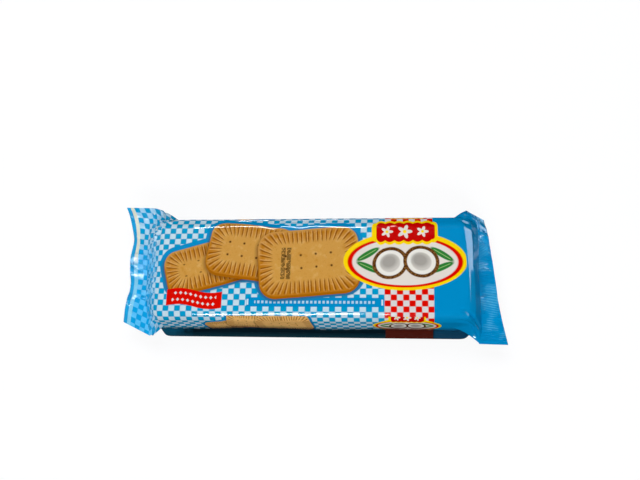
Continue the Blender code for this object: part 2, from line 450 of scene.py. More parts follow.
@dataclass
class FilmSleeve:
    """The printed film round the biscuits, with the slopes down to both end seals.

    Attributes:
        form: The packet's form.
        rim_rounding: How far the rims of the body's ends are rounded, in steps of smoothing.
        rim_reach: How many cells to either side of a rim the rounding reaches.
        swell_stretch: How long the film is beside the body under it, as a factor.
        ripple_count: Soft waves of the film over the whole packet.
        ripple_length: The range of their lengths from crest to crest.
        ripple_height: How high they are.
    """

    form: FilmForm
    rim_rounding: int = 26
    rim_reach: float = 2.6
    swell_stretch: float = 1.003
    ripple_count: int = 14
    ripple_length: tuple = (0.010, 0.034)
    ripple_height: float = 0.00006
    name: str = "film_sleeve"

    # Crinkles in the gathered film at the left end, by the ranges that they are drawn from. The lean has a
    # mean and a spread.
    crinkle_count: int = 170
    crinkle_u: tuple = (0.0900, 0.1060)
    crinkle_q: tuple = (-0.042, 0.038)
    crinkle_lean: tuple = (-0.35, 0.35)
    crinkle_half: tuple = (0.0012, 0.0036)
    crinkle_rise: tuple = (0.00025, 0.00075)
    crinkle_width: tuple = (0.0005, 0.0009)

    # Crinkles that fan out at the left end's back corner
    fan_count: int = 60
    fan_middle: tuple = (-0.0945, 0.0240)
    fan_spread: float = 0.0040
    fan_angle: tuple = (0.3, 1.9)
    fan_reach: tuple = (0.004, 0.013)
    fan_rise: tuple = (0.0004, 0.0011)
    fan_width: float = 0.0008

    # Low pinches in the film over the biscuits
    pinch_count: int = 36
    pinch_u: tuple = (-0.084, 0.090)
    pinch_q: tuple = (-0.028, 0.024)
    pinch_reach: tuple = (0.004, 0.012)
    pinch_rise: tuple = (-0.00010, 0.00012)
    pinch_width: float = 0.0016

    # Rows across the sleeve and stations along it, as share or cells and the count up to there
    girth_rows: tuple = (
        (-0.5, 0), (-0.335, 16), (-0.19, 62), (-0.105, 112),
        (0.105, 172), (0.19, 222), (0.335, 268), (0.5, 284),
    )
    half_stations: tuple = ((0.0, 0), (13.0, 62), (17.0, 110), (25.0, 174))

    # Single folds: one on the top, two in the film turned in at the foot's left end, and then the ridges
    # and valleys that carry the body's long edges down to the ears
    single_folds: tuple = (
        Fold((0.0535, 0.0235), (0.0575, 0.0140), 0.00040, 0.0007),
        Fold((-0.0860, -0.0500), (-0.0560, -0.0490), 0.0006, 0.0009),
        Fold((-0.0820, -0.0540), (-0.0620, -0.0530), -0.0004, 0.0008),
        Fold((0.0900, -0.0262), (0.1105, -0.0318), 0.0012, 0.0010),
        Fold((0.0925, -0.0300), (0.1085, -0.0345), -0.0008, 0.0009),
        Fold((0.0880, -0.0325), (0.1090, -0.0370), 0.0008, 0.0009),
        Fold((0.0905, 0.0300), (0.1060, 0.0280), 0.0010, 0.0011),
        Fold((0.0920, 0.0345), (0.1080, 0.0325), -0.0009, 0.0011),
        Fold((-0.0860, -0.0320), (-0.1060, -0.0325), 0.0010, 0.0011),
        Fold((-0.0860, -0.0355), (-0.1060, -0.0365), -0.0008, 0.0010),
        Fold((-0.0820, 0.0310), (-0.1060, 0.0320), 0.0009, 0.0012),
    )

    # Pinched lines along the back edge of the top
    creases: tuple = (
        Crease(
            (
                (-0.0640, 0.0256, 0.0), (-0.0500, 0.0256, -0.00026), (-0.0340, 0.0256, -0.00030),
                (-0.0250, 0.0256, -0.00006), (-0.0185, 0.0260, 0.00046), (-0.0135, 0.0256, -0.00024),
                (-0.0022, 0.0256, 0.00022), (0.0047, 0.0256, -0.00022), (0.0125, 0.0256, 0.0),
                (0.0247, 0.0256, 0.00020), (0.0320, 0.0256, 0.00024), (0.0440, 0.0256, 0.0),
            ),
            0.0030,
        ),
        Crease(
            (
                (-0.0460, 0.0296, 0.0), (-0.0400, 0.0298, 0.00050), (-0.0240, 0.0304, 0.00062),
                (-0.0180, 0.0312, 0.00056), (-0.0120, 0.0300, 0.00060), (0.0100, 0.0298, 0.00060),
                (0.0240, 0.0298, 0.00056), (0.0320, 0.0298, 0.0),
            ),
            0.0008,
        ),
    )

    def rows(self) -> Array:
        """The share of the girth of each row, closest together on the top and the long sides."""
        shares, counts = zip(*self.girth_rows)
        return np.interp(np.arange(counts[-1] + 1), counts, shares)

    def stations(self) -> Array:
        """Spaces the stations along the packet, closest together at the ends.

        Returns:
            The place of each station, in cells.
        """
        cells, counts = zip(*self.half_stations)
        half = np.interp(np.arange(counts[-1] + 1), counts, cells)
        return np.concatenate([-half[:0:-1], half])

    def film_places(self, points: Array, cells: Array, share: Array) -> tuple[Array, Array]:
        """The place of each point on the flat film.

        Args:
            points: The sleeve's points, stations first and rows second.
            cells: The cells along the packet of each point.
            share: The share of the girth of each point.

        Returns:
            u and q of each point.
        """
        form = self.form
        middle = cells.shape[0] // 2
        steps = np.linalg.norm(np.diff(points, axis=0), axis=-1)
        u = np.zeros(cells.shape)
        u[middle + 1 :] = np.cumsum(steps[middle:], axis=0)
        u[:middle] = -np.cumsum(steps[:middle][::-1], axis=0)[::-1]
        place = form.place(share)
        down = np.clip((np.abs(cells) - form.body_cells) / form.slope_cells, 0.0, 1.0)
        for side in PackEnd:
            shape = form.end(side)
            start = shape.body_end(place) * self.swell_stretch
            root_u = shape.seal_u(place, np.zeros_like(place))
            slope_u = start + (root_u - start) * down
            u = np.where((down > 0.0) & (cells * side.value > 0), slope_u, u)
        body_q = share * form.girth
        flat_q = form.seal_q(place)
        lower_q = np.copysign(form.girth / 2, share) - flat_q
        root_q = np.where(np.abs(share) <= UPPER, flat_q, lower_q)
        q = body_q + (root_q - body_q) * ease(down)
        return u, q

    def round_rims(self, points: Array, cells: Array, share: Array) -> Array:
        """Rounds the edges where the body turns down to the seals, most on the top and the underside.

        Args:
            points: The sleeve's points, stations first and rows second, which are moved.
            cells: The cells along the packet of each point.
            share: The share of the girth of each point.

        Returns:
            The same points.
        """
        near = np.exp(-(((np.abs(cells) - self.form.body_cells) / self.rim_reach) ** 2))
        off_side = ease((np.abs(np.abs(share) - UPPER) - 0.04) / 0.03)
        weight = (near * (0.25 + 0.75 * off_side))[..., None]
        for _ in range(self.rim_rounding):
            middle = (points[:-2] + points[2:]) / 2
            points[1:-1] += (middle - points[1:-1]) * weight[1:-1]
        return points

    def crinkles(self, draw: np.random.Generator) -> Iterable[Fold]:
        """Draws the short crinkles above the left seal, which run nearly across the packet.

        Args:
            draw: The generator that every random fold is drawn from in turn.

        Yields:
            Each crinkle.
        """
        for _ in range(self.crinkle_count):
            u = -draw.uniform(*self.crinkle_u)
            q = draw.uniform(*self.crinkle_q)
            lean = draw.normal(*self.crinkle_lean)
            half = draw.uniform(*self.crinkle_half)
            rise = either_way(draw, self.crinkle_rise)
            width = draw.uniform(*self.crinkle_width)
            yield Fold((u - half * lean, q - half), (u + half * lean, q + half), rise, width)

    def fan(self, draw: np.random.Generator) -> Iterable[Fold]:
        """Draws the crinkles that fan out at the left end's back corner.

        Args:
            draw: The generator that every random fold is drawn from in turn.

        Yields:
            Each crinkle.
        """
        for _ in range(self.fan_count):
            angle = draw.uniform(*self.fan_angle)
            reach = draw.uniform(*self.fan_reach)
            u, q = (middle + draw.normal(0, self.fan_spread) for middle in self.fan_middle)
            end = (u + reach * math.cos(angle), q + reach * math.sin(angle))
            yield Fold((u, q), end, either_way(draw, self.fan_rise), self.fan_width)

    def pinches(self, draw: np.random.Generator) -> Iterable[Fold]:
        """Draws the low pinches in the film over the biscuits.

        Args:
            draw: The generator that every random fold is drawn from in turn.

        Yields:
            Each pinch.
        """
        for _ in range(self.pinch_count):
            u = draw.uniform(*self.pinch_u)
            q = draw.uniform(*self.pinch_q)
            angle = draw.uniform(0.0, math.pi)
            reach = draw.uniform(*self.pinch_reach)
            start = (u - reach * math.cos(angle), q - reach * math.sin(angle))
            end = (u + reach * math.cos(angle), q + reach * math.sin(angle))
            yield Fold(start, end, draw.uniform(*self.pinch_rise), self.pinch_width)

    def folds(self) -> Iterable[Union[Fold, Crease]]:
        """Gathers all the film's folds and creases, the random ones first.

        Yields:
            Each fold or crease.
        """
        draw = np.random.default_rng(SEED)
        yield from self.crinkles(draw)
        yield from self.fan(draw)
        yield from self.pinches(draw)
        yield from self.single_folds
        yield from self.creases

    def ripples(self, u: Array, q: Array) -> Array:
        """Works out the soft waves of the film over the whole packet.

        Args:
            u: The place of each point along the film.
            q: The place of each point across the film.

        Returns:
            The waves at each point, at a height of about 1.
        """
        draw = np.random.default_rng(SEED + 1)
        height = np.zeros_like(u)
        for _ in range(self.ripple_count):
            turn = draw.uniform(0.0, math.pi)
            wave = 2 * math.pi / draw.uniform(*self.ripple_length)
            phase = draw.uniform(0.0, 2 * math.pi)
            height += np.sin((u * math.cos(turn) + q * math.sin(turn)) * wave + phase)
        return height / math.sqrt(self.ripple_count)

    def relief(self, u: Array, q: Array) -> Array:
        """Works out how far the folds and waves move the sleeve out.

        Args:
            u: The place of each point along the film.
            q: The place of each point across the film.

        Returns:
            The height to add at each point.
        """
        height = self.ripples(u, q) * self.ripple_height
        for fold in self.folds():
            height += fold.relief(u, q)
        return height

    def build(self) -> bpy.types.Object:
        """Models the sleeve.

        Returns:
            The sleeve, closed along its seam and open at both ends.
        """
        rows = self.rows()
        stations = self.stations()
        sheet = FilmSheet(self.name, len(stations) - 1, len(rows) - 1)
        cells, share = np.meshgrid(stations, rows, indexing="ij")
        points = self.form.web_point(cells, share)
        points = self.round_rims(points, cells, share)
        u, q = self.film_places(points, cells, share)
        last_cell = self.form.body_cells + self.form.slope_cells
        end_fade = 1.0 - ease(np.abs(cells) - (last_cell - 1.0))
        under_fade = ease((points[..., 2] - 0.001) / 0.002)
        points += sheet.normals(points) * (self.relief(u, q) * end_fade * under_fade)[..., None]
        points[..., 2] = np.maximum(points[..., 2], 0.0)
        return sheet.make(points, u, q, merge=True)


@dataclass
class FilmSheet:
    """A grid of cells that becomes a piece of film.

    Attributes:
        name: The piece's name.
        columns: Cells along the first axis.
        rows: Cells along the second axis.
    """

    name: str
    columns: int
    rows: int

    def normals(self, points: Array) -> Array:
        """Works out which way is out of a surface.

        Args:
            points: The surface's points, along the first axis and then the second.

        Returns:
            A direction of length 1 at each point.
        """
        across = np.cross(np.gradient(points, axis=1), np.gradient(points, axis=0))
        size = np.linalg.norm(across, axis=-1, keepdims=True)
        return across / np.maximum(size, 1e-12)

    def make(self, points: Array, u: Array, q: Array, merge: bool = False) -> bpy.types.Object:
        """Lays a flat grid over the points and keeps the film places as its UV map.

        Args:
            points: The place of each grid point, along the first axis and then the second.
            u: The place along the film of each point.
            q: The place across the film of each point.
            merge: Whether edges that meet are joined.

        Returns:
            The new object.
        """
        grid = bmesh.new()
        bmesh.ops.create_grid(grid, x_segments=self.columns, y_segments=self.rows, size=1.0)
        mesh = bpy.data.meshes.new(self.name)
        grid.to_mesh(mesh)
        grid.free()
        flat = np.empty(len(mesh.vertices) * 3)
        mesh.vertices.foreach_get("co", flat)
        flat = flat.reshape(-1, 3)
        column = np.rint((flat[:, 0] + 1.0) / 2.0 * self.columns).astype(int)
        row = np.rint((flat[:, 1] + 1.0) / 2.0 * self.rows).astype(int)
        mesh.vertices.foreach_set("co", points[column, row].ravel())
        corner = np.empty(len(mesh.loops), dtype=np.int32)
        mesh.loops.foreach_get("vertex_index", corner)
        places = np.stack([u[column, row], q[column, row]], axis=-1)[corner]
        mesh.uv_layers.new(name=FILM_MAP).data.foreach_set("uv", places.ravel())
        shell = bmesh.new()
        shell.from_mesh(mesh)
        if merge:
            bmesh.ops.remove_doubles(shell, verts=shell.verts, dist=MERGE_DISTANCE)
        bmesh.ops.recalc_face_normals(shell, faces=shell.faces)
        shell.to_mesh(mesh)
        shell.free()
        mesh.shade_smooth()
        piece = bpy.data.objects.new(self.name, mesh)
        bpy.context.scene.collection.objects.link(piece)
        return piece

    def make_double(self, points: Array, u: Array, q: Array, thickness: float) -> bpy.types.Object:
        """Makes a piece of two films pressed together.

        Args:
            points: The place of each grid point of the middle surface.
            u: The place along the film of each point.
            q: The place across the film of each point.
            thickness: How thick the two films are together.

        Returns:
            The new object.
        """
        piece = self.make(points, u, q)
        wall = piece.modifiers.new("two films", "SOLIDIFY")
        wall.thickness = thickness
        wall.offset = 0.0
        return piece


@dataclass
class EndSeal:
    """One crimped end seal: both layers of film, pressed together by ribbed jaws.

    Attributes:
        form: The packet's form.
        side: Which end it closes.
        rib_pitch: From one crimp rib to the next.
        rib_height: How far a rib stands out.
        rib_least: The part of that height that the ribs keep where they are pressed in least.
        buckle_count: Soft buckles of the flap.
        buckle_length: The range of their lengths from crest to crest.
        buckle_height: How high they are at the cut edge.
        overlap: How far the seal reaches back between the sleeve's layers, as a part of its length.
        root_fade: How far out the relief fades in, as a part of the seal's length.
    """

    form: FilmForm
    side: PackEnd
    rib_pitch: float = 0.00100
    rib_height: float = 0.00013
    rib_least: float = 0.10
    buckle_count: int = 7
    buckle_length: tuple = (0.007, 0.022)
    buckle_height: float = 0.00035
    overlap: float = 0.04
    root_fade: float = 0.15
    columns: int = 640
    rows: int = 30

    # Short folds pressed into the flap, by the ranges that they are drawn from. The lean has a mean and a
    # spread.
    fold_count: int = 26
    fold_q: tuple = (-0.038, 0.038)
    fold_half: tuple = (0.0015, 0.0042)
    fold_inward: tuple = (0.001, 0.012)
    fold_lean: tuple = (0.0, 0.35)
    fold_rise: tuple = (0.0002, 0.0006)
    fold_width: tuple = (0.0004, 0.0008)

    @property
    def name(self) -> str:
        """The piece's name."""
        return f"end_seal_{self.side.name.lower()}"

    def buckles(self, q: Array, out: Array) -> Array:
        """Works out the soft buckles of the flap, largest at its cut edge.

        Args:
            q: The place of each point across the film.
            out: How far out each point is, 0 at the seal's root and 1 at its cut edge.

        Returns:
            The buckles at each point, at a height of about 1 at the cut edge.
        """
        draw = np.random.default_rng(SEED + 10 + self.side.value)
        height = np.zeros_like(q)
        for _ in range(self.buckle_count):
            wave = 2 * math.pi / draw.uniform(*self.buckle_length)
            phase = draw.uniform(0.0, 2 * math.pi)
            lean = draw.normal(0.0, 0.5)
            height += np.sin(q * wave + phase + lean * out)
        return height / math.sqrt(self.buckle_count) * (0.25 + 0.75 * out)

    def ribs(self, q: Array, out: Array) -> Array:
        """Works out the crimp ribs, pressed in deeper at some places than at others.

        Args:
            q: The place of each point across the film.
            out: How far out each point is, 0 at the seal's root and 1 at its cut edge.

        Returns:
            The height of the ribs at each point.
        """
        patches = np.sin(q / 0.0042 + 1.3) * np.sin(q / 0.0107 + 3.0 * out) + 0.35 * np.sin(7.0 * out)
        depth = self.rib_least + (1.0 - self.rib_least) * ease(0.35 + 1.3 * patches)
        return np.sin(2 * np.pi * q / self.rib_pitch) * self.rib_height * depth

    def folds(self) -> Iterable[Fold]:
        """Draws the short folds that run from the body towards the cut edge.

        Yields:
            Each fold.
        """
        draw = np.random.default_rng(SEED + 20 + self.side.value)
        end = self.form.end(self.side)
        for _ in range(self.fold_count):
            q = draw.uniform(*self.fold_q)
            half = draw.uniform(*self.fold_half)
            middle = end.cut_u - self.side.value * draw.uniform(*self.fold_inward)
            lean = draw.normal(*self.fold_lean) * half
            rise = either_way(draw, self.fold_rise)
            width = draw.uniform(*self.fold_width)
            yield Fold((middle - half, q - lean), (middle + half, q + lean), rise, width)

    def build(self) -> bpy.types.Object:
        """Models the flap as a ribbed sheet with the thickness of two films.

        Returns:
            The seal.
        """
        shape = self.form.end(self.side)
        place, out = np.meshgrid(
            np.linspace(0.0, 1.0, self.columns + 1),
            np.linspace(-self.overlap, 1.0, self.rows + 1),
            indexing="ij",
        )
        points = shape.seal_point(place, out)
        u = shape.seal_u(place, out)
        q = self.form.seal_q(place)
        relief = self.ribs(q, out) + self.buckles(q, np.maximum(out, 0.0)) * self.buckle_height
        for fold in self.folds():
            relief += fold.relief(u, q)
        points[..., 2] += relief * ease(out / self.root_fade)
        sheet = FilmSheet(self.name, self.columns, self.rows)
        return sheet.make_double(points, u, q, self.form.film_thickness)


@dataclass
class BackFin:
    """The fin of the back seam, folded flat under the packet.

    Attributes:
        form: The packet's form.
        width: How wide the fin is.
        half_length: How far it runs either way from the middle.
        clearance: How far its middle surface stands off the table.
        rib_pitch: From one crimp rib to the next.
        rib_height: How far a rib stands out.
        wave_reach: How far along the fin its long wave turns by one radian.
        wave_height: How high that wave is.
    """

    form: FilmForm
    width: float = 0.0110
    half_length: float = 0.0830
    clearance: float = 0.00035
    rib_pitch: float = 0.00110
    rib_height: float = 0.00008
    wave_reach: float = 0.011
    wave_height: float = 0.00006
    columns: int = 900
    rows: int = 14
    name: str = "back_fin"

    def build(self) -> bpy.types.Object:
        """Models the fin as a ribbed strip with the thickness of two films.

        Returns:
            The fin.
        """
        x, y = np.meshgrid(
            np.linspace(-self.half_length, self.half_length, self.columns + 1),
            np.linspace(0.0, self.width, self.rows + 1),
            indexing="ij",
        )
        ribs = np.sin(2 * np.pi * x / self.rib_pitch) * self.rib_height
        wave = np.sin(x / self.wave_reach) * self.wave_height
        points = np.stack([x, y, self.clearance + ribs + wave], axis=-1)
        sheet = FilmSheet(self.name, self.columns, self.rows)
        return sheet.make_double(points, x, self.form.girth / 2 + y, self.form.film_thickness)


class Value:
    """A number on a node's socket, with the sums that shaders need written as plain expressions."""

    def __init__(self, desk: "NodeDesk", socket: bpy.types.NodeSocket) -> None:
        """Keeps the socket and the desk that adds nodes."""
        self.desk = desk
        self.socket = socket

    def sum_with(self, operation: str, *others: Any, clamp: bool = False) -> "Value":
        """Adds one Math node that takes this value first."""
        inputs = dict(enumerate((self, *others)))
        return self.desk.value("ShaderNodeMath", {"operation": operation, "use_clamp": clamp}, inputs)

    def __add__(self, other: Any) -> "Value":
        """This plus another."""
        return self.sum_with("ADD", other)

    __radd__ = __add__

    def __mul__(self, other: Any) -> "Value":
        """This times another."""
        return self.sum_with("MULTIPLY", other)

    __rmul__ = __mul__

    def __sub__(self, other: Any) -> "Value":
        """This less another."""
        return self.sum_with("SUBTRACT", other)

    def __rsub__(self, other: Any) -> "Value":
        """A number less this."""
        return self.desk.value("ShaderNodeMath", {"operation": "SUBTRACT"}, {0: other, 1: self})

    def __truediv__(self, other: Any) -> "Value":
        """This divided by another."""
        return self.sum_with("DIVIDE", other)

    def __abs__(self) -> "Value":
        """This without its sign."""
        return self.sum_with("ABSOLUTE")

    def sine(self) -> "Value":
        """The sine of this."""
        return self.sum_with("SINE")

    def root(self) -> "Value":
        """The square root of this."""
        return self.sum_with("SQRT")

    def least(self, other: Any) -> "Value":
        """The smaller of this and another."""
        return self.sum_with("MINIMUM", other)

    def most(self, other: Any) -> "Value":
        """The larger of this and another."""
        return self.sum_with("MAXIMUM", other)

    def over(self, limit: Number) -> "Value":
        """1 where this is over a limit, and 0 elsewhere."""
        return self.sum_with("GREATER_THAN", limit)

    def clamped(self) -> "Value":
        """This, kept between 0 and 1."""
        return self.sum_with("ADD", 0.0, clamp=True)

    def within(self, soft: Number = SHARP_EDGE) -> "Value":
        """1 where this distance is under 0, and 0 outside, with a soft edge."""
        return self.sum_with("MULTIPLY_ADD", -1.0 / soft, 0.5, clamp=True)

    def repeated(self, pitch: Number) -> "Value":
        """How far this is from the middle of the repeat that it falls in."""
        return ((self / pitch).sum_with("FRACT") - 0.5) * pitch

    def length_with(self, other: "Value") -> "Value":
        """The distance that is this far one way and another far square to it."""
        return (self * self + other * other).root()

    def angle_with(self, other: "Value") -> "Value":
        """The angle, in radians, of a way that is this far up and another far along."""
        return self.sum_with("ARCTAN2", other)


class NodeDesk:
    """Adds nodes to one material and reads them as values."""

    def __init__(self, name: str) -> None:
        """Makes a material with its Principled shader.

        Args:
            name: The material's name.
        """
        self.material = bpy.data.materials.new(name)
        self.material.use_nodes = True
        self.tree = self.material.node_tree
        self.shader = self.tree.nodes["Principled BSDF"]

    def node(
        self, kind: str, settings: Optional[dict] = None, inputs: Optional[dict] = None
    ) -> bpy.types.Node:
        """Adds a node.

        Args:
            kind: The node's type.
            settings: Its settings, set first.
            inputs: The value or link of each socket, by name or number.

        Returns:
            The node.
        """
        node = self.tree.nodes.new(kind)
        for name, setting in (settings or {}).items():
            setattr(node, name, setting)
        for key, given in (inputs or {}).items():
            self.feed(node.inputs[key], given)
        return node

    def feed(self, socket: bpy.types.NodeSocket, given: Any) -> None:
        """Links a value to a socket, or sets the socket to a plain number or colour.

        Args:
            socket: The socket that takes it.
            given: A value, another node's socket, a number or a colour.
        """
        if isinstance(given, Value):
            self.tree.links.new(given.socket, socket)
        elif isinstance(given, bpy.types.NodeSocket):
            self.tree.links.new(given, socket)
        else:
            socket.default_value = given

    def value(self, kind: str, settings: Optional[dict] = None, inputs: Optional[dict] = None) -> Value:
        """Adds a node and reads its first output as a value."""
        return Value(self, self.node(kind, settings, inputs).outputs[0])

    def mix(self, factor: Value, first: Any, second: Any) -> bpy.types.NodeSocket:
        """Mixes two colours: the first where the factor is 0, and the second where it is 1."""
        inputs = {0: factor, 6: first, 7: second}
        return self.node("ShaderNodeMix", {"data_type": "RGBA"}, inputs).outputs[2]

    def layers(self, colour: Any, *layers: tuple[Value, Any]) -> bpy.types.NodeSocket:
        """Lays colours over each other.

        Args:
            colour: The lowest colour.
            layers: A mask and a colour for each layer over it, from the lowest up.

        Returns:
            The socket with the colour that results.
        """
        for mask, over in layers:
            colour = self.mix(mask, colour, over)
        return colour

    def film_place(self) -> tuple[Value, Value]:
        """Reads the place of each point on the film.

        Returns:
            u and q, in millimetres.
        """
        places = self.node("ShaderNodeUVMap", {"uv_map": FILM_MAP}).outputs[0]
        parts = self.node("ShaderNodeSeparateXYZ", inputs={0: places})
        return Value(self, parts.outputs[0]) * 1000.0, Value(self, parts.outputs[1]) * 1000.0

    def noise(self, scale: float, detail: float = 2.0, roughness: float = 0.5) -> Value:
        """Noise over the piece's own space.

        Args:
            scale: Waves per metre.
            detail: How many finer layers are added.
            roughness: How strong the finer layers are.

        Returns:
            The noise, about 0.5 on average.
        """
        place = self.node("ShaderNodeTexCoord").outputs["Object"]
        inputs = {"Vector": place, "Scale": scale, "Detail": detail, "Roughness": roughness}
        return self.value("ShaderNodeTexNoise", None, inputs)


@dataclass(frozen=True)
class Inks:
    """The inks of the print, with painted shade tones for the foot of the front side and a painted highlight
    colour for the crimp ribs.
    """

    blue: Colour = ink(0x008ECC)
    check_blue: Colour = ink(0x0099CC)
    white: Colour = ink(0xC6E0EE)
    warm_white: Colour = ink(0xDEDADA)
    red: Colour = ink(0xDD0B00)
    deep_red: Colour = ink(0xC80302)
    yellow: Colour = ink(0xFFDA06)
    cream: Colour = ink(0xE8E0D8)
    cut_strip: Colour = ink(0x1FA4E2)
    cream_strip: Colour = ink(0xE2E8D8)
    pale_strip: Colour = ink(0x86D2F4)
    thin_white: Colour = ink(0x5CC4FA)
    thin_blue: Colour = ink(0x0AA2E4)
    # Painted highlight colour for the crimp ribs
    rib_glint_blue: Colour = ink(0x6CCBEF)
    # Painted shade: darker tones of the print for the shaded foot of the front side
    foot: Colour = ink(0x061A24)
    foot_shade_teal: Colour = ink(0x0A4C68)
    foot_shade_red: Colour = ink(0x4E1A12)
    foot_shade_blue: Colour = ink(0x10405E)
    foot_shade_edge: Colour = ink(0x12404F)
    biscuit: Colour = ink(0xD09A48)
    biscuit_light: Colour = ink(0xDFB56C)
    biscuit_pale: Colour = ink(0xF8C67C)
    biscuit_rim: Colour = ink(0xBE7A1C)
    biscuit_groove: Colour = ink(0x874806)
    biscuit_edge: Colour = ink(0xA8620A)
    biscuit_shade: Colour = ink(0x451C06)
    leaf: Colour = ink(0x2F7F36)
    leaf_vein: Colour = ink(0x9CCB7A)
    shell: Colour = ink(0x4E2A12)
    shell_light: Colour = ink(0x93642F)
    kernel: Colour = ink(0xEFEDE6)
    kernel_shade: Colour = ink(0xCFCBC4)
    kernel_deep: Colour = ink(0x9C9892)
    jet: Colour = ink(0x1C1712)


@dataclass(frozen=True)
class Patch:
    """A place in the print: its middle, its half sizes and its turn.

    Attributes:
        u: Middle along the film, in millimetres.
        q: Middle across the film, in millimetres.
        half_u: Half its size along.
        half_q: Half its size across.
        corner: Radius of its corners.
        turn: Its turn in degrees.
    """

    u: float
    q: float
    half_u: float
    half_q: float
    corner: float = 0.0
    turn: float = 0.0

    def local(self, u: Value, q: Value) -> tuple[Value, Value]:
        """Measures places from the patch's middle, along its own sides.

        Args:
            u: Places along the film.
            q: Places across the film.

        Returns:
            The places along and across the patch.
        """
        if self.turn == 0.0:
            return u - self.u, q - self.q
        cos = math.cos(math.radians(self.turn))
        sin = math.sin(math.radians(self.turn))
        along_side = u * cos + q * sin - (self.u * cos + self.q * sin)
        across_side = q * cos - u * sin - (self.q * cos - self.u * sin)
        return along_side, across_side

    def box(self, u: Value, q: Value) -> Value:
        """Measures to the patch's outline as a box with rounded corners.

        Args:
            u: Places along the film.
            q: Places across the film.

        Returns:
            The distance to the outline, under 0 inside.
        """
        x, y = self.local(u, q)
        dx = abs(x) - (self.half_u - self.corner)
        dy = abs(y) - (self.half_q - self.corner)
        if self.corner == 0.0:
            return dx.most(dy)
        outside = dx.most(0.0).length_with(dy.most(0.0))
        return outside + dx.most(dy).least(0.0) - self.corner

    def ellipse(self, u: Value, q: Value) -> Value:
        """Measures to the patch's outline as an ellipse, near enough for a print.

        Args:
            u: Places along the film.
            q: Places across the film.

        Returns:
            The distance to the outline, under 0 inside.
        """
        x, y = self.local(u, q)
        out = (x / self.half_u).length_with(y / self.half_q)
        return (out - 1.0) * min(self.half_u, self.half_q)


